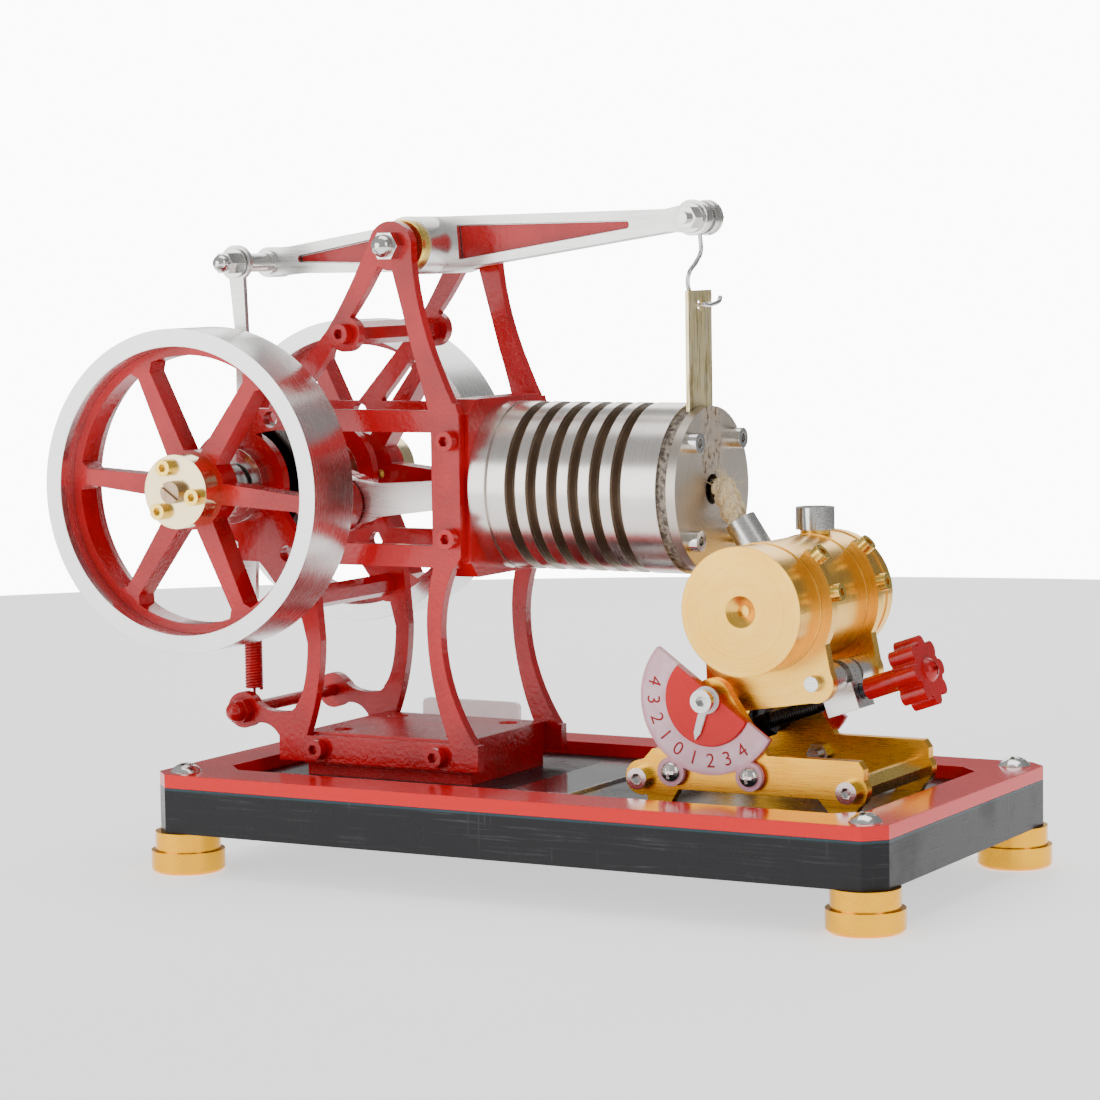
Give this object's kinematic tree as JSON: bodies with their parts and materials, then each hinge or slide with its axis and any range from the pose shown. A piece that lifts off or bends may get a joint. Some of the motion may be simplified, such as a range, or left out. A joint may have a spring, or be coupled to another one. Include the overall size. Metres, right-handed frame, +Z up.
{
  "type": "model steam engine",
  "caption": "Desk-top vacuum engine: spoked flywheels, finned cylinder, rocking beam with slide valve and a tilting spirit burner on a raised base.",
  "frame": {"origin": "bottom centre of the overall bounding box, under the feet", "axes": "+X from the flywheels towards the burner, +Y from the front wheel to the rear wheel, +Z up"},
  "size_m": [0.2524, 0.1184, 0.1789],
  "materials": {
    "red_paint": "glossy textured enamel",
    "red_plate": "glossy",
    "black_slab": "satin black with faint scratches",
    "gold_aluminium": "brushed gold anodised",
    "steel": "turned and brushed",
    "bright_steel": "bright turned",
    "screw_chrome": "polished",
    "brass": "satin",
    "silver_aluminium": "satin",
    "black_steel": "blackened",
    "gasket": "rough, heat stained",
    "dial_band": "pale translucent",
    "pink_tab": "clear",
    "white_pointer": "matte",
    "wick_cotton": "braided cotton",
    "cam_steel": "dark knurled"
  },
  "bodies": {
    "engine": {"base_slab": "black_slab", "base_frame": "red_plate", "feet": "gold_aluminium", "base_screws": "screw_chrome", "nameplate": "silver_aluminium", "rear_tab": "pink_tab", "pedestal": "red_paint", "side_frame_front": "red_paint", "side_frame_rear": "red_paint", "frame_bolts": "red_paint", "cross_posts": "red_paint", "lobe_nuts": "red_paint", "bearing_outers": "screw_chrome", "cylinder_plate": "red_paint", "cylinder": "steel", "valve_guide": "gasket", "end_cap": "steel", "cap_screws": "screw_chrome", "beam_pin": "screw_chrome", "beam_pin_nuts": "screw_chrome", "return_spring": "red_paint", "burner_plates": "gold_aluminium", "burner_standoffs": "brass", "burner_screws": "screw_chrome", "dial_plates": "dial_band", "dial_sectors": "red_plate", "dial_screws": "screw_chrome"},
    "crank": {"crankshaft": "brass", "crank_webs": "red_paint", "shaft_collars": "bright_steel", "bearing_inners": "screw_chrome", "flywheel_rims": "bright_steel", "flywheel_centres": "red_paint", "flywheel_hubs": "brass", "hub_screws": "brass", "cam_disc": "cam_steel"},
    "piston": {"piston": "bright_steel", "wrist_pin": "bright_steel"},
    "con_rod": {"connecting_rod": "silver_aluminium", "crank_pin": "bright_steel"},
    "beam": {"beam": "silver_aluminium", "beam_inlays": "red_paint", "beam_bush": "brass", "beam_end_pins": "screw_chrome"},
    "follower": {"follower_rod": "silver_aluminium"},
    "valve": {"valve_strip": "brass", "valve_wire": "bright_steel"},
    "cradle": {"cradle_arms": "gold_aluminium", "spirit_tank": "gold_aluminium", "clamp_screws": "brass", "wick_tube": "silver_aluminium", "wick": "wick_cotton", "cradle_pin": "silver_aluminium", "pivot_screws": "screw_chrome", "dial_pointers": "white_pointer"},
    "swivel_block": {"swivel_block": "silver_aluminium"},
    "swivel_post": {"swivel_post": "black_steel"},
    "adjuster": {"adjuster_screw": "black_steel", "star_knob": "red_paint"},
    "filler_cap": {"filler_cap": "silver_aluminium"}
  },
  "joints": [
    {"name": "crank_spin", "type": "hinge", "parent": "engine", "child": "crank", "pos_m": [-0.08255, 0, 0.1032], "axis": [0, 1, 0], "continuous": true},
    {"name": "piston_slide", "type": "slide", "parent": "engine", "child": "piston", "axis": [1, 0, 0], "range_m": [-0.03856, 0.00134]},
    {"name": "rod_swing", "type": "hinge", "parent": "piston", "child": "con_rod", "pos_m": [0.00606, 0, 0.1032], "axis": [0, 1, 0], "range_deg": [-11.3, 21.9]},
    {"name": "beam_rock", "type": "hinge", "parent": "engine", "child": "beam", "pos_m": [-0.03155, 0, 0.168], "axis": [0, 1, 0], "range_deg": [-1.5, 8.5], "stiffness_Nm_per_rad": 0.3, "springref_deg": -0.34},
    {"name": "follower_swing", "type": "hinge", "parent": "beam", "child": "follower", "pos_m": [-0.08439, -0.0192, 0.16391], "axis": [0, 1, 0], "range_deg": [-8.6, 1.6]},
    {"name": "valve_slide", "type": "slide", "parent": "engine", "child": "valve", "axis": [0, 0, 1], "range_m": [-0.012, 0.0022]},
    {"name": "cradle_tilt", "type": "hinge", "parent": "engine", "child": "cradle", "pos_m": [0.06175, 0, 0.051], "axis": [0, 1, 0], "range_deg": [0, 9]},
    {"name": "block_swivel", "type": "hinge", "parent": "cradle", "child": "swivel_block", "pos_m": [0.08775, 0, 0.0554], "axis": [0, 1, 0], "range_deg": [-1.4, 0.1]},
    {"name": "post_swivel", "type": "hinge", "parent": "engine", "child": "swivel_post", "pos_m": [0.06035, 0, 0.0404], "axis": [0, 1, 0], "range_deg": [-0.1, 7.9]},
    {"name": "knob_turn", "type": "hinge", "parent": "swivel_post", "child": "adjuster", "pos_m": [0.06035, 0, 0.0404], "axis": [0.9459, 0, 0.3244], "range_deg": [-1, 731]},
    {"name": "cap_lift", "type": "slide", "parent": "cradle", "child": "filler_cap", "axis": [0, 0, 1], "range_m": [0, 0.01]}
  ],
  "couplings": [
    {"joint": "follower_swing", "follows": "beam_rock", "ratio": -1},
    {"joint": "valve_slide", "follows": "beam_rock", "m_per_rad": -0.0802},
    {"joint": "block_swivel", "follows": "cradle_tilt", "ratio": -0.139},
    {"joint": "post_swivel", "follows": "cradle_tilt", "ratio": 0.861},
    {"joint": "knob_turn", "follows": "cradle_tilt", "ratio": 81}
  ]
}
